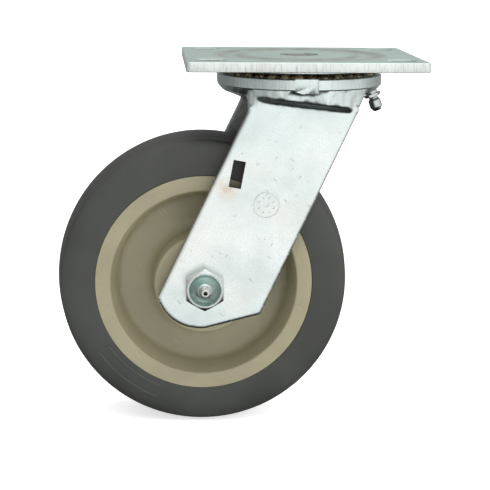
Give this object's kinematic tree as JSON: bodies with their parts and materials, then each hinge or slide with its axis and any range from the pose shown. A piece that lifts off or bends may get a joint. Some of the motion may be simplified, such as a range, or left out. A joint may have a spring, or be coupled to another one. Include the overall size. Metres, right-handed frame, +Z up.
{
  "type": "swivel plate caster",
  "caption": "Heavy-duty swivel caster: slotted top plate, double ball race, pressed steel fork and a soft-tread wheel on a roller bearing.",
  "frame": {"origin": "centre of the top plate's upper face, on the kingpin's axis", "axes": "+Z up along the kingpin, out of the plate's upper face; the wheel trails towards -X; the axle lies along Y"},
  "size_m": [0.1862, 0.106, 0.1925],
  "materials": {
    "zinc_plated_steel": "bright zinc plating on pressed steel",
    "zinc_hardware": "zinc-plated turned and cold-headed steel",
    "bearing_steel": "hardened and ground steel under grease",
    "nylon": "plain nylon",
    "grey_tread": "soft matt moulded rubber",
    "beige_core": "moulded plastic with a light satin"
  },
  "bodies": {
    "mount": {"top_plate": "zinc_plated_steel", "kingpin": "zinc_hardware", "lower_race_cup": "zinc_hardware", "kingpin_washer": "zinc_hardware", "kingpin_nut": "zinc_hardware"},
    "swivel": {"fork": "zinc_plated_steel", "swivel_grease_fitting": "zinc_hardware", "swivel_fitting_ball": "bearing_steel", "axle_bolt": "zinc_hardware", "axle_nut": "zinc_hardware", "axle_nut_insert": "nylon", "axle_grease_fitting": "zinc_hardware", "axle_fitting_ball": "bearing_steel", "spanner_bushing": "bearing_steel", "thrust_washer_near": "zinc_hardware", "thrust_washer_far": "zinc_hardware"},
    "upper_ball_ring": {"upper_balls": "bearing_steel"},
    "lower_ball_ring": {"lower_balls": "bearing_steel"},
    "wheel": {"tyre": "grey_tread", "wheel_core": "beige_core", "bearing_sleeve": "bearing_steel"},
    "rollers": {"bearing_rollers": "bearing_steel", "roller_cage": "zinc_hardware"}
  },
  "joints": [
    {"name": "swivel_turn", "type": "hinge", "parent": "mount", "child": "swivel", "pos_m": [0, 0, -0.015], "axis": [0, 0, 1], "continuous": true},
    {"name": "upper_ball_orbit", "type": "hinge", "parent": "mount", "child": "upper_ball_ring", "pos_m": [0, 0, -0.0098], "axis": [0, 0, 1], "continuous": true},
    {"name": "lower_ball_orbit", "type": "hinge", "parent": "mount", "child": "lower_ball_ring", "pos_m": [0, 0, -0.0244], "axis": [0, 0, 1], "continuous": true},
    {"name": "wheel_spin", "type": "hinge", "parent": "swivel", "child": "wheel", "pos_m": [-0.05, 0, -0.1163], "axis": [0, 1, 0], "continuous": true},
    {"name": "roller_orbit", "type": "hinge", "parent": "swivel", "child": "rollers", "pos_m": [-0.05, 0, -0.1163], "axis": [0, 1, 0], "continuous": true}
  ],
  "couplings": [
    {"joint": "upper_ball_orbit", "follows": "swivel_turn", "ratio": 0.5},
    {"joint": "lower_ball_orbit", "follows": "swivel_turn", "ratio": 0.5},
    {"joint": "roller_orbit", "follows": "wheel_spin", "ratio": 0.605}
  ]
}
